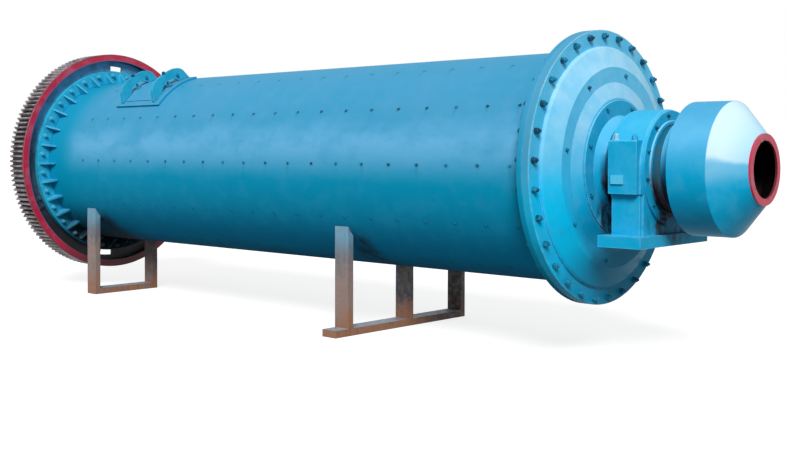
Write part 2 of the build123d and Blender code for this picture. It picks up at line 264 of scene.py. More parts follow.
def makePaintGroup():
    group, given, out = startGroup("weatheredPaint", [
        ("paint", colour, (0.0, 0.3, 0.5, 1)), ("faded", colour, (0.1, 0.4, 0.6, 1)),
        ("dirt", colour, (0.03, 0.03, 0.03, 1)), ("rust", colour, (0.18, 0.07, 0.03, 1)),
        ("fade", number, 0.5), ("grime", number, 0.5), ("runs", number, 0.3),
        ("blotch", number, 0.5), ("gloss", number, 0.4)],
        [("colour", colour), ("roughness", number), ("height", number)])
    point = objectPoint(group)
    nz = splitXyz(group, objectNormal(group))[2]
    large = noise(group, point, 0.9, 3, 0.5)
    middle = noise(group, point, 5.5, 5, 0.6, 0.3)
    small = noise(group, point, 34, 4, 0.6)
    peel = noise(group, point, 190, 2, 0.5)

    cloud = plus(group, times(group, large, 0.6), times(group, middle, 0.4))
    top = softStep(group, nz, -0.15, 0.55)
    fadeMask = maths(group, "MULTIPLY", times(group, top, given["fade"]),
                     softStep(group, cloud, 0.25, 0.7, 0.72, 1.15), clamp=True)
    base = mixColour(group, fadeMask, given["paint"], given["faded"])

    patches = times(group, softStep(group, middle, 0.45, 0.68), given["blotch"], 0.35)
    base = mixColour(group, patches, base, mixColour(group, 0.5, given["faded"], (0.28, 0.60, 0.78, 1)))
    deeper = times(group, softStep(group, large, 0.52, 0.32), given["blotch"], 0.4)
    base = mixColour(group, deeper, base,
                     mixColour(group, 1.0, base, (0.62, 0.78, 0.86, 1), "MULTIPLY"))

    upright = softStep(group, maths(group, "ABSOLUTE", nz), 0.75, 0.25)
    streaks = noise(group, stretch(group, point, (15, 15, 0.9)), 1.0, 4, 0.62)
    runs = times(group, softStep(group, streaks, 0.55, 0.74), upright, given["runs"])
    base = mixColour(group, runs, base, mixColour(group, 0.55, given["dirt"], given["rust"]))

    under = softStep(group, plus(group, nz, swing(group, middle, 0.9)), -0.25, -0.95)
    grime = maths(group, "MULTIPLY", under, given["grime"], clamp=True)
    soil = mixColour(group, softStep(group, small, 0.4, 0.66), given["dirt"], given["rust"])
    base = mixColour(group, grime, base, soil)
    specks = times(group, softStep(group, small, 0.66, 0.74), times(group, given["grime"], 0.35))
    base = mixColour(group, specks, base, given["dirt"])

    rough = plus(group, given["gloss"], swing(group, middle, 0.22))
    rough = plus(group, rough, times(group, plus(group, grime, fadeMask), 0.22), clamp=True)
    uneven = plus(group, times(group, small, 0.25), times(group, middle, 0.6))
    feed(group, out["colour"], base)
    feed(group, out["roughness"], rough)
    feed(group, out["height"], plus(group, times(group, peel, 0.12), uneven))
    return group


axisPlace = makeAxisGroup()
gearSootAndShade = makeSootAndShadeGroup()
edgeWearAndHighlight = makeEdgeGroup()
weatheredPaint = makePaintGroup()


def startMaterial(name, **plain):
    material = bpy.data.materials.new(name)
    material.use_nodes = True
    tree = material.node_tree
    shader = tree.nodes["Principled BSDF"]
    for label, value in plain.items():
        shader.inputs[label.replace("_", " ")].default_value = value
    return material, tree, shader.inputs


def finishPaint(tree, shader, base, rough, height, distance):
    feed(tree, shader["Base Color"], base)
    feed(tree, shader["Roughness"], rough)
    feed(tree, shader["Normal"], bump(tree, height, distance))


def weathered(tree, values):
    return useGroup(tree, weatheredPaint, **{label: values[label] for label in paintInputs})


def addSootAndShade(tree, base):
    return mixColour(tree, times(tree, useGroup(tree, gearSootAndShade)["mask"], sootAndShade["share"]), base, sootAndShade["colour"])


# Blue satin paint of the drum, with run marks under the liner bolts

drumPaint = {
    "paint": (0.001, 0.285, 0.480, 1), "faded": (0.080, 0.310, 0.520, 1),
    "dirt": (0.006, 0.040, 0.056, 1), "rust": (0.060, 0.040, 0.036, 1),
    "fade": 0.70, "grime": 0.20, "runs": 0.04, "blotch": 0.15, "gloss": 0.40,
    "paintedSheen": (0.170, 0.470, 0.760, 1), "brightened": (0.030, 0.430, 0.640, 1),
    "deep": (0.001, 0.255, 0.540, 1), "sootAndShade": (0.004, 0.024, 0.048, 1),
    "mark": (0.004, 0.120, 0.185, 1), "shadowAndStain": (0.016, 0.016, 0.022, 1),
    "rim": (0.010, 0.105, 0.250, 1), "edge": (0.30, 0.66, 0.84, 1),
    "shadowAndStainAt": (1.15, -2.68),
}
linerBolt = {
    "first": 2.919, "pitch": 0.2973, "perRow": 20, "rows": 12, "phase": 1.0, "oily": (0, 1, 6, 7),
    "flats": 0.021, "height": 0.0035, "washer": 0.014, "washerHeight": 0.002, "sunk": 0.001,
}


def makeDrumPaint():
    material, tree, shader = startMaterial("drumPaint", Specular_IOR_Level=0.04)
    look, point = weathered(tree, drumPaint), objectPoint(tree)
    along, radius, fromTop, angle, outward = useGroup(tree, axisPlace)
    wander = noise(tree, point, 9, 3)
    # run marks start at each bolt and fade out below it; 40 and 10 keep both counts above zero
    step = maths(tree, "DIVIDE", minus(tree, along, linerBolt["first"]), linerBolt["pitch"])
    step = plus(tree, step, swing(tree, wander, 0.10))
    aside = maths(tree, "ABSOLUTE", minus(tree, maths(tree, "FRACT", plus(tree, step, 40.5)), 0.5))
    row = maths(tree, "DIVIDE", minus(tree, fromTop, 90 - linerBolt["phase"]), 360 / linerBolt["rows"])
    below = maths(tree, "FRACT", plus(tree, row, 10.02))
    smear = noise(tree, stretch(tree, point, (3, 0.6, 0.6)), 2.2, 2)
    tail = times(tree, softStep(tree, aside, 0.075, 0.02), softStep(tree, below, 0.30, 0.03),
                 softStep(tree, smear, 0.42, 0.62, 0.03, 0.24))
    across = times(tree, aside, linerBolt["pitch"])
    down = times(tree, minus(tree, below, 0.02), shellRadius * math.tau / linerBolt["rows"])
    halo = softStep(tree, hypotenuse(tree, across, down), 0.034, 0.014, 0.0, 0.35)
    onShell = softStep(tree, maths(tree, "ABSOLUTE", minus(tree, radius, shellRadius)), 0.01, 0.004)
    marks = times(tree, maths(tree, "MAXIMUM", tail, halo), softStep(tree, along, -2.86, -2.80), onShell)
    # painted reflection: a paler band of painted sheen runs along each shoulder of the shell; below it the
    # lower side is painted a deeper blue as painted shade
    cloud = noise(tree, stretch(tree, point, (0.55, 1, 1)), 3.4, 5, 0.62)
    reach = plus(tree, fromTop, swing(tree, cloud, 16))
    band = times(tree, softStep(tree, reach, 60, 80), softStep(tree, reach, 101, 80),
                 softStep(tree, cloud, 0.30, 0.58, 0.28, 0.62), softStep(tree, along, -3.38, -2.88), onShell)
    base = mixColour(tree, band, look["colour"], drumPaint["paintedSheen"])
    deep = times(tree, softStep(tree, reach, 100, 146, 0.0, 0.55), onShell)
    base = mixColour(tree, deep, base, drumPaint["deep"])
    # next to the gussets the shell's colour goes back towards the plain paint
    fuller = times(tree, softStep(tree, along, -2.76, -3.22, 0.0, 0.86), onShell)
    base = mixColour(tree, fuller, base, drumPaint["paint"])
    base = mixColour(tree, marks, base, drumPaint["mark"])
    # painted shade with soot: low on its underside the shell is painted near black
    base = mixColour(tree, times(tree, softStep(tree, reach, 140, 170), 0.76), base, drumPaint["sootAndShade"])
    base = addSootAndShade(tree, base)
    # painted shadow of the front posts, with rust stain: beside them the shell is painted near black
    beside = [softStep(tree, maths(tree, "ABSOLUTE", minus(tree, along, x)), 0.24, 0.03)
              for x in drumPaint["shadowAndStainAt"]]
    lowDown = times(tree, softStep(tree, angle, -33, -46), softStep(tree, angle, -104, -72))
    shadowAndStain = times(tree, maths(tree, "MAXIMUM", *beside), lowDown,
                  softStep(tree, wander, 0.30, 0.60, 0.25, 0.75), onShell)
    base = mixColour(tree, shadowAndStain, base, drumPaint["shadowAndStain"])
    # painted shade: the rim of the flange at the gear end lies in shade and is painted deep blue
    rim = times(tree, softStep(tree, radius, flangeRadius - 0.008, flangeRadius - 0.002),
                softStep(tree, along, 0, -3), softStep(tree, outward, 0.3, 0.8, 0.0, 0.85))
    base = mixColour(tree, rim, base, drumPaint["rim"])
    # the gusseted flange and the manhole's clamps are painted brighter, except low down
    clamps = times(tree, softStep(tree, along, -3.0, -2.8),
                   softStep(tree, radius, shellRadius + 0.034, shellRadius + 0.044, 0.0, 0.85),
                   softStep(tree, along, 0.0, -0.2))
    flange = times(tree, softStep(tree, along, -3.30, -3.42),
                   softStep(tree, radius, shellRadius + 0.004, shellRadius + 0.016))
    brightened = times(tree, maths(tree, "MAXIMUM", flange, clamps), softStep(tree, fromTop, 145, 110, 0.0, 0.88),
                  softStep(tree, noise(tree, point, 7, 4, 0.6), 0.34, 0.56, 0.45, 1.0))
    base = mixColour(tree, brightened, base, drumPaint["brightened"])
    # painted highlight: edges of ribs and clamps are painted pale where they catch the light
    edgeMask = useGroup(tree, edgeWearAndHighlight, reach=0.010, amount=0.45)["mask"]
    proud = times(tree, softStep(tree, radius, shellRadius + 0.012, shellRadius + 0.030),
                  softStep(tree, radius, flangeRadius - 0.004, flangeRadius - 0.012))
    base = mixColour(tree, times(tree, edgeMask, proud), base, drumPaint["edge"])
    rough = plus(tree, look["roughness"], softStep(tree, fromTop, 95, 140, 0.0, 0.38), clamp=True)
    finishPaint(tree, shader, base, rough, look["height"], 0.0016)
    return material


# Cast and turned pieces in the same paint: covers, bearings, trunnion flanges

castPaint = {
    "paint": (0.006, 0.440, 0.730, 1), "faded": (0.230, 0.600, 0.860, 1),
    "dirt": (0.004, 0.060, 0.080, 1), "rust": (0.040, 0.050, 0.052, 1),
    "fade": 0.80, "grime": 0.30, "runs": 0.05, "blotch": 0.40, "gloss": 0.42,
    "edge": (0.46, 0.78, 0.90, 1),
}
coverPaint = dict(castPaint, pale=(0.480, 0.740, 0.880, 1), low=(0.001, 0.215, 0.385, 1),
                  brighterPatch=(0.001, 0.540, 0.880, 1), rim=(0.045, 0.275, 0.455, 1), highlightAmount=0.60)
housingPaint = dict(castPaint, paint=(0.002, 0.355, 0.600, 1), faded=(0.050, 0.455, 0.730, 1), runs=0.08,
                    boss=(0.120, 0.560, 0.800, 1), rubbed=(0.30, 0.66, 0.86, 1), lip=0.362,
                    greaseShadeInner=0.368, greaseShadeBelow=128)
hubPaint = dict(castPaint, paint=(0.004, 0.330, 0.560, 1), faded=(0.110, 0.500, 0.760, 1), blotch=0.5,
                greaseShadeInner=0.370, greaseShadeBelow=118)
grease = {"black": (0.008, 0.012, 0.020, 1), "maroon": (0.055, 0.014, 0.026, 1)}


def coverLightAndShade(tree, base, values):
    # painted highlight: the cones are painted pale most where they face the sky
    _, radius, fromTop, angle, outward = useGroup(tree, axisPlace)
    streaks = noise(tree, stretch(tree, objectPoint(tree), (2, 5, 5)), 1.0, 5, 0.6)
    pale = times(tree, softStep(tree, outward, 0.06, 0.22, 0.42, 1.0), softStep(tree, fromTop, 118, 38),
                 softStep(tree, streaks, 0.30, 0.66, 0.45, 1.0), values["highlightAmount"])
    base = mixColour(tree, pale, base, values["pale"])
    # painted shade: the lower part is painted a deeper blue
    base = mixColour(tree, softStep(tree, fromTop, 96, 146, 0.0, 0.84), base, values["low"])
    # below the -Y side the middle rings are painted brighter and bluer
    brighterPatch = times(tree, softStep(tree, angle, 8, -14), softStep(tree, angle, -72, -40),
                  softStep(tree, radius, 0.66, 0.80), softStep(tree, streaks, 0.34, 0.60, 0.35, 0.75))
    base = mixColour(tree, brighterPatch, base, values["brighterPatch"])
    # painted shade: the flange's outer rim is painted a darker blue, most on its upper part
    rim = times(tree, softStep(tree, radius, flangeRadius - 0.006, flangeRadius - 0.002),
                softStep(tree, outward, 0.3, 0.8), softStep(tree, fromTop, 120, 80, 0.0, 0.88))
    return mixColour(tree, rim, base, values["rim"])


def rubbedHousing(tree, base, values):
    # painted highlight: the seal's raised lip is painted bright on its upper part
    place, lip = useGroup(tree, axisPlace), values["lip"]
    rubbed = times(tree, softStep(tree, place["radius"], lip - 0.010, lip - 0.004),
                   softStep(tree, place["radius"], lip + 0.003, lip + 0.001),
                   softStep(tree, place["fromTop"], 128, 96), 0.7)
    base = mixColour(tree, rubbed, base, values["rubbed"])
    # the oil boss on the cap's side is paler
    _, y, z = splitXyz(tree, objectPoint(tree))
    boss = times(tree, softStep(tree, maths(tree, "ABSOLUTE", y), capHalfWidth + 0.006, capHalfWidth + 0.012),
                 softStep(tree, z, axisHeight - 0.20, axisHeight - 0.16, 0.0, 0.75))
    return mixColour(tree, boss, base, values["boss"])


def greaseAndShade(tree, base, values):
    # grease and painted shade: round the journal and down the housing below it the paint turns black and
    # maroon, partly thrown-out and dripped grease, partly painted shade
    point, place = objectPoint(tree), useGroup(tree, axisPlace)
    inner, start = values["greaseShadeInner"], values["greaseShadeBelow"]
    patches = noise(tree, stretch(tree, point, (9, 9, 3.5)), 1.0, 5, 0.66)
    spoilt = plus(tree, place["radius"], swing(tree, patches, 0.05))
    ring = times(tree, softStep(tree, spoilt, inner + 0.012, inner - 0.012),
                 softStep(tree, place["fromTop"], 70, 115))
    drips = times(tree, softStep(tree, place["fromTop"], start, start + 26),
                  softStep(tree, patches, 0.44, 0.58, 0.05, 0.9), softStep(tree, place["radius"], 0.62, 0.50))
    blots = softStep(tree, noise(tree, point, 17, 3), 0.5, 0.66)
    return mixColour(tree, maths(tree, "MAXIMUM", ring, drips), base,
                     mixColour(tree, blots, grease["black"], grease["maroon"]))


def makeCastPaint(name, values, edges, distance):
    material, tree, shader = startMaterial(name, Specular_IOR_Level=0.05)
    look = weathered(tree, values)
    base = look["colour"]
    if "highlightAmount" in values:
        base = coverLightAndShade(tree, base, values)
    # painted highlight and wear: edges are painted paler
    edgeMask = useGroup(tree, edgeWearAndHighlight, reach=0.010, amount=edges)["mask"]
    base = mixColour(tree, edgeMask, base, values["edge"])
    if "lip" in values:
        base = rubbedHousing(tree, base, values)
    if "greaseShadeInner" in values:
        base = greaseAndShade(tree, base, values)
    finishPaint(tree, shader, base, look["roughness"], look["height"], distance)
    return material


# Feeder: the drum's paint, with a painted highlight on the cone

feederPaint = {
    "paint": (0.002, 0.370, 0.640, 1), "faded": (0.150, 0.500, 0.790, 1),
    "dirt": (0.006, 0.045, 0.060, 1), "rust": (0.050, 0.040, 0.040, 1),
    "fade": 0.80, "grime": 0.20, "runs": 0.04, "blotch": 0.3, "gloss": 0.36,
    "highlightPale": (0.80, 0.94, 0.95, 1), "low": (0.001, 0.250, 0.460, 1),
    "sootAndShade": (0.008, 0.006, 0.008, 1), "dust": (0.035, 0.024, 0.024, 1),
    "coneFrom": 1.034, "coneFull": 1.040,
}


def makeFeederPaint():
    material, tree, shader = startMaterial("feederPaint", Specular_IOR_Level=0.04)
    look, point = weathered(tree, feederPaint), objectPoint(tree)
    along, radius, fromTop, angle, outward = useGroup(tree, axisPlace)
    # painted highlight: the cone is painted near white above its middle
    onCone = softStep(tree, along, feedFace + feederPaint["coneFrom"], feedFace + feederPaint["coneFull"])
    turned = plus(tree, angle, times(tree, noise(tree, point, 7, 3), 7))
    coneHighlight = plus(tree, softStep(tree, turned, -18, 6, 0.0, 0.24), softStep(tree, turned, 9, 17, 0.0, 0.74))
    coneHighlight = times(tree, coneHighlight, softStep(tree, turned, 150, 80, 0.30, 1.0),
                   softStep(tree, radius, 0.20, 0.44, 0.55, 1.0), onCone, 0.70)
    base = mixColour(tree, coneHighlight, look["colour"], feederPaint["highlightPale"])
    # painted shade: the lower side and the drum's crown are painted a deeper blue
    low = times(tree, softStep(tree, angle, -5, -60, 0.0, 0.34), softStep(tree, onCone, 0.0, 1.0, 1.0, 0.35))
    base = mixColour(tree, low, base, feederPaint["low"])
    crown = times(tree, softStep(tree, fromTop, 66, 34, 0.0, 0.42),
                  softStep(tree, onCone, 0.0, 1.0, 1.0, 0.0))
    base = mixColour(tree, crown, base, feederPaint["low"])
    # painted shade with soot and dust: the inside of the feeder is painted near black
    inside = softStep(tree, outward, -0.02, -0.25)
    black = mixColour(tree, noise(tree, point, 12, 4), feederPaint["sootAndShade"], feederPaint["dust"])
    base = mixColour(tree, inside, base, black)
    rough = plus(tree, look["roughness"], times(tree, inside, 0.4), clamp=True)
    finishPaint(tree, shader, base, rough, look["height"], 0.0012)
    return material


# Red paint of the gear's sides and the feeder's mouth

redPaint = {
    "paint": (0.470, 0.012, 0.048, 1), "faded": (0.500, 0.060, 0.110, 1),
    "dirt": (0.035, 0.020, 0.024, 1), "rust": (0.150, 0.040, 0.025, 1),
    "fade": 0.5, "grime": 0.35, "runs": 0.15, "blotch": 0.5, "gloss": 0.42,
    "chipAndShade": (0.022, 0.012, 0.014, 1), "oily": (0.085, 0.030, 0.036, 1),
    "blueRim": (0.018, 0.110, 0.240, 1), "low": (0.040, 0.010, 0.014, 1),
}
gearIron = {
    "bright": (0.340, 0.320, 0.345, 1), "brown": (0.130, 0.096, 0.100, 1),
    "grease": (0.012, 0.010, 0.013, 1), "redFrom": 0.72,
}


def makeMouthPaint():
    material, tree, shader = startMaterial("mouthPaint", Specular_IOR_Level=0.35)
    look, place = weathered(tree, redPaint), useGroup(tree, axisPlace)
    # painted shade: the bore of the mouth ring is painted dark; chips near its inner edge are dark too
    bore = softStep(tree, place["outward"], -0.2, -0.6)
    chips = times(tree, softStep(tree, noise(tree, objectPoint(tree), 16, 4), 0.56, 0.66),
                  softStep(tree, place["radius"], 0.236, 0.212), 0.85)
    bare = maths(tree, "MAXIMUM", chips, times(tree, bore, 0.8))
    base = mixColour(tree, bare, look["colour"], redPaint["chipAndShade"])
    finishPaint(tree, shader, base, look["roughness"], look["height"], 0.001)
    return material


def makeGearRed():
    material, tree, shader = startMaterial("gearRed", Specular_IOR_Level=0.35)
    look, radius = weathered(tree, redPaint), useGroup(tree, axisPlace)["radius"]
    oily = times(tree, softStep(tree, radius, 1.270, 1.294),
                 softStep(tree, noise(tree, objectPoint(tree), 11, 4), 0.40, 0.62, 0.15, 0.85))
    base = mixColour(tree, oily, look["colour"], redPaint["oily"])
    rim = times(tree, softStep(tree, radius, 1.228, 1.220), 0.75)
    base = mixColour(tree, rim, base, redPaint["blueRim"])
    # painted shade and soot: low down the ring is painted dark maroon
    low = times(tree, useGroup(tree, gearSootAndShade, **{"from": 136, "to": 164})["mask"], 0.86)
    base = mixColour(tree, low, base, redPaint["low"])
    finishPaint(tree, shader, base, look["roughness"], look["height"], 0.0012)
    return material


def makeGearIron():
    material, tree, shader = startMaterial("gearIron", Specular_IOR_Level=0.5)
    look, radius, point = weathered(tree, redPaint), useGroup(tree, axisPlace)["radius"], objectPoint(tree)
    nx = splitXyz(tree, objectNormal(tree))[0]
    side = softStep(tree, maths(tree, "ABSOLUTE", nx), gearIron["redFrom"] - 0.1, gearIron["redFrom"] + 0.1)
    # machining lines run across the face of the teeth
    lines = noise(tree, stretch(tree, point, (4, 60, 60)), 3, 3)
    iron = mixColour(tree, softStep(tree, noise(tree, point, 8, 5), 0.35, 0.65), gearIron["brown"],
                     gearIron["bright"])
    deep = times(tree, softStep(tree, radius, 1.284, 1.258), 0.92)
    dark = maths(tree, "MAXIMUM", deep, softStep(tree, noise(tree, point, 15, 4), 0.60, 0.72))
    iron = mixColour(tree, dark, iron, gearIron["grease"])
    # paint is worn and oily near the tooth tips
    oily = times(tree, softStep(tree, radius, 1.262, 1.290),
                 softStep(tree, noise(tree, point, 11, 4), 0.40, 0.64, 0.25, 0.85))
    base = mixColour(tree, side, iron, mixColour(tree, oily, look["colour"], redPaint["oily"]))
    feed(tree, shader["Metallic"], times(tree, minus(tree, 1.0, side), 0.45))
    rough = plus(tree, 0.36, times(tree, lines, 0.22))
    finishPaint(tree, shader, base, rough, plus(tree, look["height"], times(tree, lines, 0.5)), 0.0012)
    return material


# Slate grey web behind the gear flange, dull with grease, and the liner's steel

webPaint = {
    "paint": (0.026, 0.060, 0.098, 1), "faded": (0.075, 0.150, 0.205, 1),
    "dirt": (0.014, 0.014, 0.018, 1), "rust": (0.075, 0.030, 0.024, 1),
    "fade": 0.6, "grime": 0.8, "runs": 0.45, "blotch": 0.6, "gloss": 0.5,
    "oversprayAndLight": (0.120, 0.400, 0.700, 1), "sootAndShade": (0.012, 0.011, 0.013, 1),
}
linerSteel = {
    "paint": (0.070, 0.060, 0.056, 1), "faded": (0.130, 0.112, 0.100, 1),
    "dirt": (0.020, 0.016, 0.015, 1), "rust": (0.150, 0.062, 0.030, 1),
    "fade": 0.3, "grime": 0.5, "runs": 0.4, "blotch": 0.8, "gloss": 0.55,
    "sootAndShade": (0.012, 0.011, 0.013, 1),
}


def makePlainPaint(name, values, distance):
    material, tree, shader = startMaterial(name, Specular_IOR_Level=0.25)
    look = weathered(tree, values)
    base = look["colour"]
    if "oversprayAndLight" in values:
        # the flange's blue paint has drifted over the upper part, painted brighter than it is as painted
        # light in the shade between ring and flange
        cloud = noise(tree, objectPoint(tree), 9, 4, 0.6)
        reach = plus(tree, useGroup(tree, axisPlace)["fromTop"], swing(tree, cloud, 40))
        drift = times(tree, softStep(tree, reach, 86, 58), softStep(tree, cloud, 0.34, 0.60, 0.50, 0.90))
        base = mixColour(tree, drift, base, values["oversprayAndLight"])
    # painted shade and soot: dark low at the gear end
    low = useGroup(tree, gearSootAndShade, **{"from": 100, "to": 140})["mask"]
    base = mixColour(tree, low, base, values["sootAndShade"])
    finishPaint(tree, shader, base, look["roughness"], look["height"], distance)
    return material


# Turned journals: oversprayed steel above, a film of grease below that is painted dark also as painted shade

journalSteel = {
    "steel": (0.045, 0.110, 0.140, 1), "spray": (0.003, 0.120, 0.210, 1),
    "grease": (0.012, 0.010, 0.013, 1), "maroon": (0.070, 0.014, 0.022, 1),
}


def makeJournalSteel():
    material, tree, shader = startMaterial("journalSteel", Specular_IOR_Level=0.5)
    point = objectPoint(tree)
    smears = noise(tree, stretch(tree, point, (14, 5, 5)), 1.0, 5, 0.62)
    fromTop = plus(tree, useGroup(tree, axisPlace)["fromTop"], swing(tree, smears, 60))
    # grease and painted shade: the lower side is painted dark
    film, bare = softStep(tree, fromTop, 104, 132), softStep(tree, smears, 0.46, 0.64)
    base = mixColour(tree, bare, journalSteel["spray"], journalSteel["steel"])
    blots = softStep(tree, noise(tree, point, 21, 3), 0.46, 0.62)
    base = mixColour(tree, film, base, mixColour(tree, blots, journalSteel["grease"], journalSteel["maroon"]))
    turned = noise(tree, stretch(tree, point, (300, 3, 3)), 1.0, 2)
    feed(tree, shader["Metallic"], times(tree, bare, softStep(tree, film, 1.0, 0.0, 0.0, 0.4)))
    rough = softStep(tree, film, 0.0, 1.0, 0.30, 0.42)
    finishPaint(tree, shader, base, rough, plus(tree, turned, times(tree, smears, 2)), 0.0008)
    return material


# Rusty rolled steel of the stands, bluish mill scale above and orange rust below

rustySteel = {
    "scale": (0.160, 0.165, 0.180, 1), "brown": (0.245, 0.180, 0.163, 1),
    "orange": (0.285, 0.112, 0.044, 1), "dark": (0.050, 0.032, 0.028, 1),
    "splash": (0.140, 0.360, 0.510, 1), "shelf": (0.290, 0.400, 0.510, 1),
    "shade": (0.012, 0.012, 0.015, 1), "haze": (0.060, 0.105, 0.150, 1),
    "edge": (0.26, 0.24, 0.25, 1),
}


def makeRustySteel():
    material, tree, shader = startMaterial("rustySteel", Specular_IOR_Level=0.5)
    point = objectPoint(tree)
    _, y, z = splitXyz(tree, point)
    up = splitXyz(tree, objectNormal(tree))[2]
    broad = noise(tree, point, 3.6, 5, 0.60, 0.3)
    grain = noise(tree, point, 22, 5, 0.66)
    fine = noise(tree, point, 130, 4, 0.65)
    drawn = noise(tree, stretch(tree, point, (26, 26, 2.2)), 1.0, 4, 0.6)
    level = plus(tree, z, plus(tree, swing(tree, broad, 0.9), swing(tree, grain, 0.35)))
    base = mixColour(tree, softStep(tree, level, 0.46, 0.84), rustySteel["brown"], rustySteel["scale"])
    base = mixColour(tree, softStep(tree, level, 0.36, 0.02, 0.0, 0.85), base, rustySteel["orange"])
    base = mixColour(tree, softStep(tree, drawn, 0.55, 0.72, 0.0, 0.5), base, rustySteel["dark"])
    base = mixColour(tree, softStep(tree, fine, 0.56, 0.68, 0.0, 0.35), base, rustySteel["dark"])
    # painted shade, with soot and grease: the posts that stand further in under the shell are painted near
    # black
    inner = times(tree, softStep(tree, y, -0.40, 0.35, 0.0, 0.96), softStep(tree, level, 0.04, 0.36))
    inner = maths(tree, "MAXIMUM", inner, softStep(tree, y, 0.10, 0.62, 0.0, 0.84))
    haze = times(tree, softStep(tree, broad, 0.50, 0.62), softStep(tree, y, 0.62, 0.10, 0.0, 0.85))
    base = mixColour(tree, inner, base, mixColour(tree, haze, rustySteel["shade"], rustySteel["haze"]))
    shelf = times(tree, softStep(tree, up, 0.6, 0.95), softStep(tree, grain, 0.34, 0.56, 0.35, 0.85))
    base = mixColour(tree, shelf, base, rustySteel["shelf"])
    # paint spray from the shell on the tops of the posts
    spray = times(tree, softStep(tree, z, 0.66, 0.93), softStep(tree, grain, 0.30, 0.56, 0.40, 0.86))
    base = mixColour(tree, spray, base, rustySteel["splash"])
    edgeMask = useGroup(tree, edgeWearAndHighlight, reach=0.006, amount=0.55)["mask"]
    base = mixColour(tree, edgeMask, base, rustySteel["edge"])
    rough = softStep(tree, grain, 0.35, 0.65, 0.42, 0.78)
    feed(tree, shader["Metallic"], times(tree, softStep(tree, broad, 0.45, 0.65), 0.35))
    finishPaint(tree, shader, base, rough, plus(tree, fine, times(tree, grain, 1.6)), 0.0014)
    return material


# Dark nuts and studs with some paint left on them

hardware = {
    "steel": (0.008, 0.062, 0.105, 1), "rust": (0.022, 0.042, 0.058, 1), "paint": (0.008, 0.205, 0.345, 1),
    "brightPaint": (0.030, 0.370, 0.600, 1), "palePaint": (0.250, 0.520, 0.640, 1),
}


def makeHardware(name, painted, coat):
    material, tree, shader = startMaterial(name, Specular_IOR_Level=0.2)
    point = objectPoint(tree)
    # low down and towards the gear more paint is left, and soot with painted shade darkens it at the gear end
    x, _, z = splitXyz(tree, point)
    kept = maths(tree, "MAXIMUM", softStep(tree, z, axisHeight - 0.1, axisHeight - 0.7, 0.0, 0.14),
                 softStep(tree, x, -0.4, -2.4, 0.0, 0.11))
    patchy = plus(tree, noise(tree, point, 13, 4, 0.6), kept)
    left = softStep(tree, patchy, 0.64 - painted * 0.4, 0.72 - painted * 0.4)
    base = mixColour(tree, left, hardware["steel"], coat)
    base = mixColour(tree, softStep(tree, noise(tree, point, 46, 4), 0.60, 0.70), base, hardware["rust"])
    rough = softStep(tree, noise(tree, point, 60, 3), 0.3, 0.7, 0.32, 0.62)
    finishPaint(tree, shader, addSootAndShade(tree, base), rough, noise(tree, point, 120, 3), 0.0008)
    return material


materials = {
    "drum": makeDrumPaint(),
    "cover": makeCastPaint("coverPaint", coverPaint, 0.40, 0.0022),
    "hub": makeCastPaint("hubPaint", hubPaint, 0.25, 0.0022),
    "housing": makeCastPaint("housingPaint", housingPaint, 0.34, 0.0028),
    "journal": makeJournalSteel(),
    "feeder": makeFeederPaint(),
    "mouth": makeMouthPaint(),
    "gearRed": makeGearRed(),
    "gear": makeGearIron(),
    "web": makePlainPaint("webPaint", webPaint, 0.0015),
    "liner": makePlainPaint("linerSteel", linerSteel, 0.003),
    "stand": makeRustySteel(),
    "darkHardware": makeHardware("darkHardware", 0.35, hardware["paint"]),
    "paintedHardware": makeHardware("paintedHardware", 1.1, hardware["brightPaint"]),
    "paleHardware": makeHardware("paleHardware", 1.3, hardware["palePaint"]),
}
print("materials made:", len(materials))

finishes = {
    "drum": ("drum_shell", "shell_flange_feed", "shell_flange_gear", "manhole_frame", "manhole_cover",
             "manhole_clamp_feed_side", "manhole_clamp_gear_side"),
    "cover": ("feed_end_cover", "discharge_end_cover"),
    "hub": ("feed_trunnion_flange", "discharge_trunnion_flange", "feeder_collar", "discharge_spout"),
    "journal": ("feed_trunnion", "discharge_trunnion"),
    "housing": ("feed_bearing_cap", "feed_bearing_base", "feed_bearing_base_plate",
                "feed_bearing_seal_rings", "discharge_bearing_cap", "discharge_bearing_base",
                "discharge_bearing_base_plate", "discharge_bearing_seal_rings"),
    "feeder": ("feeder_drum", "feeder_cone"),
    "mouth": ("feeder_mouth_ring",),
    "gearRed": ("gear_side_ring_upper_half", "gear_side_ring_lower_half"),
    "gear": ("girth_gear_upper_half", "girth_gear_lower_half"),
    "web": ("gear_web_upper_half", "gear_web_lower_half"),
    "liner": ("shell_liner",),
    "stand": ("mid_stand_sill", "mid_stand_post_front", "mid_stand_post_middle", "mid_stand_post_rear",
              "gear_stand_sill", "gear_stand_post_front", "gear_stand_post_rear"),
}


def paintNodes():
    for finish, names in finishes.items():
        for name in names:
            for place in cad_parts[name].material_slots:
                place.material = materials[finish]
    bare = set(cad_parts) - {name for names in finishes.values() for name in names}
    print("finish given to", len(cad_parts) - len(bare), "nodes, bare:", sorted(bare))


# Nuts and bolts: each one's settings give its width over flats and its washer's radius

plainWasher = 0.008
smoothUnder = 0.6           # edges that turn further than this, in radians, stay sharp


def addCone(shape, segments, foot, lower, upper, depth):
    return bmesh.ops.create_cone(shape, cap_ends=True, segments=segments, radius1=lower, radius2=upper,
                                 depth=depth, matrix=Matrix.Translation((0, 0, foot + depth / 2)))


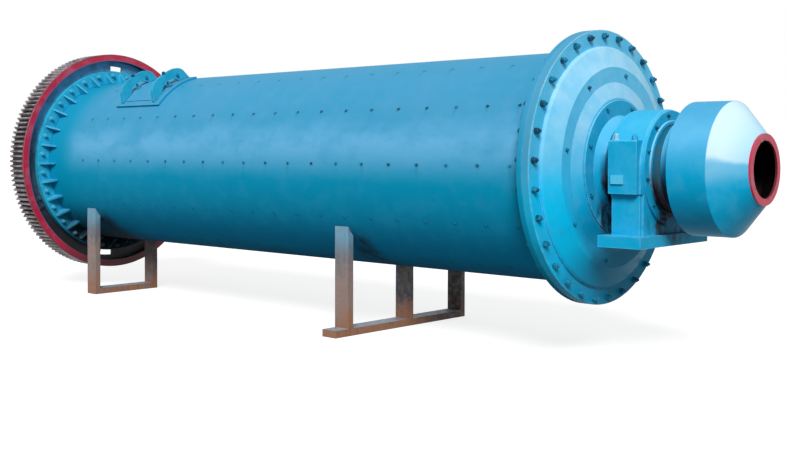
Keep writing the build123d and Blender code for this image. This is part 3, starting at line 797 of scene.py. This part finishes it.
def addTurned(shape, profile, steps, closed=False):
    # a line of radii and heights, turned about Z; Blender's own sphere and spin would number their
    # faces differently each run
    rings = []
    for radius, height in profile:
        spots = [Matrix.Rotation(k * math.tau / steps, 3, "Z") @ Vector((radius, 0, height))
                 for k in range(steps if radius else 1)]
        rings.append([shape.verts.new(spot) for spot in spots] * (steps // len(spots)))
    if closed:
        rings.append(rings[0])
    for upper, lower in zip(rings, rings[1:]):
        for k in range(steps):
            shape.faces.new(dict.fromkeys((upper[k - 1], lower[k - 1], lower[k], upper[k])))


def nutShape(bolt, crown="stud", scale=1.0):
    shape = bmesh.new()
    flats, height, washer = (bolt[part] * scale for part in ("flats", "height", "washer"))
    under = bolt.get("washerHeight", plainWasher) * scale
    corner, top = flats / 2 / math.cos(math.pi / 6), under + height
    addCone(shape, 12, 0, washer, washer, under)
    addCone(shape, 6, under, corner, corner, height)
    rim = [edge for edge in shape.edges if all(abs(end.co.z - top) < 1e-6 for end in edge.verts)]
    if crown == "stud":
        thick = bolt.get("studRadius", flats * 0.30)
        addCone(shape, 10, top, thick, thick * 0.9, bolt["stud"])
    elif crown == "dome":
        dome = bolt["domeRadius"]
        turns = [math.radians(turn) for turn in bolt["domeTurns"]]
        addTurned(shape, [(dome * math.sin(turn), top + dome * math.cos(turn)) for turn in turns], 12)
    # the bevel comes last, or what follows it would be numbered differently each run
    bmesh.ops.bevel(shape, geom=rim, offset=flats * 0.08, affect="EDGES", segments=1, profile=0.5,
                    material=-1)
    return shape


def spread(name, shape, places, finish, body="drum"):
    whole, single = bmesh.new(), bpy.data.meshes.new("single")
    for place in places:
        copy = shape.copy()
        bmesh.ops.transform(copy, matrix=place, verts=copy.verts)
        copy.to_mesh(single)
        whole.from_mesh(single)
        copy.free()
    bpy.data.meshes.remove(single)
    shape.free()
    mesh = bpy.data.meshes.new(name)
    whole.to_mesh(mesh)
    whole.free()
    mesh.materials.append(materials[finish])
    piece = bpy.data.objects.new(name, mesh)
    bpy.context.scene.collection.objects.link(piece)
    for face in mesh.polygons:
        face.use_smooth = True
    mesh.set_sharp_from_angle(angle=smoothUnder)
    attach(piece, body)
    print(name, len(mesh.polygons), "faces")


def roundAxis(x, radius, angle, facing):
    # facing 1 looks along +X, -1 along -X and 0 outwards; the angle counts up from the -Y side
    lay = {1: Matrix.Rotation(math.radians(90), 4, "Y"), -1: Matrix.Rotation(math.radians(-90), 4, "Y"),
           0: Matrix.Rotation(math.radians(90), 4, "X")}[facing]
    return (Matrix.Translation((x, 0, axisHeight)) @ Matrix.Rotation(math.radians(-angle), 4, "X")
            @ Matrix.Translation((0, -radius, 0)) @ lay)


def boltRing(count, x, radius, phase, facing):
    return [roundAxis(x, radius, phase + k * 360 / count, facing) for k in range(count)]


# Bolts of the drum: liner bolts, both flanges and the covers, whose rings each have a radius, a first
# angle and a rise from the flange's face

flangeBolt = {
    "count": 30, "radius": 1.038, "phase": 3.6, "gearPhase": 4.5, "feedFlange": 0.044, "gearFlange": 0.066,
    "flats": 0.040, "height": 0.025, "washer": 0.026, "stud": 0.014,
}
coverBolt = {
    "count": 8, "rings": ((0.740, 11, 0.090), (0.490, 20, 0.131)),
    "flats": 0.024, "height": 0.012, "washer": 0.015, "washerHeight": 0.005, "stud": 0.006,
}


def makeDrumBolts():
    bolt = linerBolt
    # four rows are oily and dark, the others still carry their paint
    for name, finish, oily, scale in (("linerBoltsOily", "darkHardware", True, 1.0),
                                      ("linerBoltsPainted", "drum", False, 0.7)):
        rows = [bolt["phase"] + k * 360 / bolt["rows"] for k in range(bolt["rows"])
                if (k in bolt["oily"]) == oily]
        places = [roundAxis(bolt["first"] - k * bolt["pitch"], shellRadius - bolt["sunk"], angle, 0)
                  for angle in rows for k in range(bolt["perRow"])]
        spread(name, nutShape(bolt, "flat", scale), places, finish)

    bolt = flangeBolt
    feedPhase, gearPhase = bolt["phase"], bolt["gearPhase"]
    for name, crown, x, phase, facing, finish in (
            ("feedFlangeNuts", "stud", feedFace, feedPhase, 1, "darkHardware"),
            ("feedFlangeBoltHeads", "flat", shellFeedEnd - bolt["feedFlange"], feedPhase, -1, "darkHardware"),
            ("gearFlangeNuts", "stud", shellGearEnd + bolt["gearFlange"], gearPhase, 1, "drum"),
            ("dischargeFlangeNuts", "stud", dischargeFace, gearPhase, -1, "darkHardware")):
        spread(name, nutShape(bolt, crown), boltRing(bolt["count"], x, bolt["radius"], phase, facing), finish)

    bolt = coverBolt
    for end, sign, face in ends:
        places = [place for radius, phase, rise in bolt["rings"]
                  for place in boltRing(bolt["count"], face + sign * rise, radius, phase, sign)]
        spread(end + "CoverBolts", nutShape(bolt), places, "darkHardware")


# Studs of the bearings: rings on both sides of each seal and two studs on each lug of the cap

sealBolt = {
    "count": 12, "radius": 0.402, "phase": 19, "faces": (0.265, 0.557),
    "flats": 0.021, "height": 0.012, "washer": 0.013, "washerHeight": 0.004, "stud": 0.005,
}
lugStud = {
    "places": (0.337, 0.483), "aside": 0.440, "top": 0.212,
    "flats": 0.036, "height": 0.026, "washer": 0.026, "stud": 0.012, "domeRadius": 0.019,
    "domeTurns": (0, 30, 60, 90),
}


def makeBearingBolts():
    for end, sign, face in ends:
        bolt = sealBolt
        places = [place for rise, side in zip(bolt["faces"], (-1, 1)) for place in boltRing(
            bolt["count"], face + sign * rise, bolt["radius"], bolt["phase"], side * sign)]
        spread(end + "SealBolts", nutShape(bolt), places, "darkHardware", "frame")
        near, far = (face + sign * place for place in lugStud["places"])
        aside, top = lugStud["aside"], axisHeight + lugStud["top"]
        spread(end + "LugNuts", nutShape(lugStud), [Matrix.Translation(place) for place in (
            (far, -aside, top), (far, aside, top), (near, aside, top))], "paintedHardware", "frame")
        spread(end + "LugDomeNut", nutShape(lugStud, "dome"), [Matrix.Translation((near, -aside, top))],
               "paleHardware", "frame")


# Manhole: a draw bolt and two pins for each clamp, and a lifting ring on the cover

manhole = {"middle": -1.9975, "clampAside": 0.275, "angle": 59, "clampTop": 1.111, "coverTop": 0.9655}
clampNut = {"flats": 0.036, "height": 0.015, "washer": 0.024, "stud": 0.005, "studRadius": 0.0135,
            "sunk": 0.001}
clampPin = {"angle": 66.8, "radius": 1.028, "aside": 0.020, "flats": 0.034, "height": 0.013,
            "washer": 0.021, "washerHeight": 0.004, "stud": 0.006}
drawBolt = {"radius": 0.0135, "short": 0.002, "footRadius": 0.040, "neckRadius": 0.030, "footHeight": 0.018}
liftingRing = {"aside": 0.185, "angle": 57, "radius": 0.050, "thick": 0.010, "lean": 72, "gap": 0.002,
               "around": 24, "across": 10}


def makeManholeBolts():
    middle, angle, coverTop = manhole["middle"], manhole["angle"], manhole["coverTop"]
    spots = [middle - manhole["clampAside"], middle + manhole["clampAside"]]
    spread("clampNuts", nutShape(clampNut),
           [roundAxis(x, manhole["clampTop"] - clampNut["sunk"], angle, 0) for x in spots], "darkHardware")
    pin = clampPin
    spread("clampPins", nutShape(pin), [roundAxis(x + side * pin["aside"], pin["radius"], pin["angle"], side)
                                        for x in spots for side in (1, -1)], "darkHardware")

    rod, bolt = bmesh.new(), drawBolt
    length = manhole["clampTop"] - coverTop - bolt["short"]
    addCone(rod, 14, 0, bolt["radius"], bolt["radius"], length)
    addCone(rod, 16, 0, bolt["footRadius"], bolt["neckRadius"], bolt["footHeight"])
    spread("clampDrawBolts", rod, [roundAxis(x, coverTop, angle, 0) for x in spots], "darkHardware")

    ring, radius, thick = bmesh.new(), liftingRing["radius"], liftingRing["thick"]
    lean = Matrix.Rotation(math.radians(liftingRing["lean"]), 3, "Y")
    turns = [k * math.tau / liftingRing["across"] for k in range(liftingRing["across"])]
    addTurned(ring, [(radius + thick * math.sin(turn), thick * math.cos(turn)) for turn in turns],
              liftingRing["around"], closed=True)
    bmesh.ops.rotate(ring, verts=ring.verts[:], cent=(0, 0, 0), matrix=lean)
    bmesh.ops.translate(ring, verts=ring.verts[:], vec=(0, 0, radius + liftingRing["gap"]))
    spread("coverLiftingRing", ring,
           [roundAxis(middle + liftingRing["aside"], coverTop, liftingRing["angle"], 0)], "drum")


# Splice plates that hold the two halves of the gear together

splice = {
    "angle": -25.5, "radius": 1.152, "wide": 0.150, "tall": 0.100, "thick": 0.016, "chamfer": 0.003,
    "nutRise": 0.024, "nutTurn": 2.4, "flats": 0.027, "height": 0.016, "washer": 0.017, "stud": 0.008,
}


def makeGearSplices():
    plate = bmesh.new()
    bmesh.ops.create_cube(plate, size=1, matrix=Matrix.Diagonal(
        (splice["wide"], splice["tall"], splice["thick"], 1)))
    bmesh.ops.bevel(plate, geom=plate.edges[:], offset=splice["chamfer"], affect="EDGES", segments=1,
                    profile=0.5, material=-1)
    bmesh.ops.translate(plate, verts=plate.verts[:], vec=(0, 0, splice["thick"] / 2))
    turns, rise, aside = (splice["angle"], splice["angle"] + 180), splice["nutRise"], splice["nutTurn"]
    spread("gearSplicePlates", plate, [roundAxis(shellGearEnd, splice["radius"], turn, 1) for turn in turns],
           "web", "drum")
    nuts = [roundAxis(shellGearEnd + splice["thick"], splice["radius"] + up, turn + beside, 1)
            for turn in turns for up in (-rise, rise) for beside in (-aside, aside)]
    spread("gearSpliceNuts", nutShape(splice), nuts, "web", "drum")


# Floor, backdrop and light

light = {
    "world": 0.34, "keyStrength": 3.35, "keyFrom": (0.50, -0.62, 0.60), "keyAway": 12, "keySoftness": 22,
    "floorBounce": (0.24, 0.24, 0.24, 1), "floorSeen": (0.38, 0.38, 0.38, 1), "floorLift": 0.80,
    "floorSize": 400, "floorDrop": 0.001,
}


def seenDirectly(tree):
    path = tree.nodes.new("ShaderNodeLightPath").outputs
    seen = maths(tree, "MAXIMUM", path["Is Camera Ray"], path["Is Glossy Ray"])
    return maths(tree, "MAXIMUM", seen, path["Is Transmission Ray"])


def makeStage():
    shape = bmesh.new()
    bmesh.ops.create_grid(shape, x_segments=1, y_segments=1, size=light["floorSize"])
    mesh = bpy.data.meshes.new("floor")
    shape.to_mesh(mesh)
    shape.free()
    floor = bpy.data.objects.new("floor", mesh)
    bpy.context.scene.collection.objects.link(floor)
    floor.location.z = -light["floorDrop"]

    material = bpy.data.materials.new("paleFloor")
    material.use_nodes = True
    tree = material.node_tree
    tree.nodes.clear()
    seen = seenDirectly(tree)
    matt = tree.nodes.new("ShaderNodeBsdfDiffuse")
    feed(tree, matt.inputs["Color"], mixColour(tree, seen, light["floorBounce"], light["floorSeen"]))
    lift = tree.nodes.new("ShaderNodeEmission")
    feed(tree, lift.inputs["Strength"], times(tree, seen, light["floorLift"]))
    both = tree.nodes.new("ShaderNodeAddShader")
    tree.links.new(matt.outputs[0], both.inputs[0])
    tree.links.new(lift.outputs[0], both.inputs[1])
    tree.links.new(both.outputs[0], tree.nodes.new("ShaderNodeOutputMaterial").inputs["Surface"])
    mesh.materials.append(material)

    world = bpy.data.worlds.new("softWorld")
    world.use_nodes = True
    tree = world.node_tree
    tree.nodes.clear()
    sky = tree.nodes.new("ShaderNodeBackground")
    sky.inputs["Color"].default_value = (1, 1, 1, 1)
    feed(tree, sky.inputs["Strength"], softStep(tree, seenDirectly(tree), 0.0, 1.0, light["world"], 1.0))
    tree.links.new(sky.outputs[0], tree.nodes.new("ShaderNodeOutputWorld").inputs["Surface"])
    bpy.context.scene.world = world
    print("stage set")


def makeLight():
    data = bpy.data.lights.new("softKey", "SUN")
    data.energy = light["keyStrength"]
    data.angle = math.radians(light["keySoftness"])
    lamp = bpy.data.objects.new("softKey", data)
    bpy.context.scene.collection.objects.link(lamp)
    lamp.location = Vector(light["keyFrom"]) * light["keyAway"]
    lamp.rotation_mode = "QUATERNION"
    lamp.rotation_quaternion = (-Vector(light["keyFrom"])).to_track_quat("-Z", "Y")
    print("light set")


bpy.context.scene.view_settings.view_transform = "Standard"
makeCamera()
makeStage()
makeLight()
paintNodes()
makeDrumBolts()
makeBearingBolts()
makeManholeBolts()
makeGearSplices()
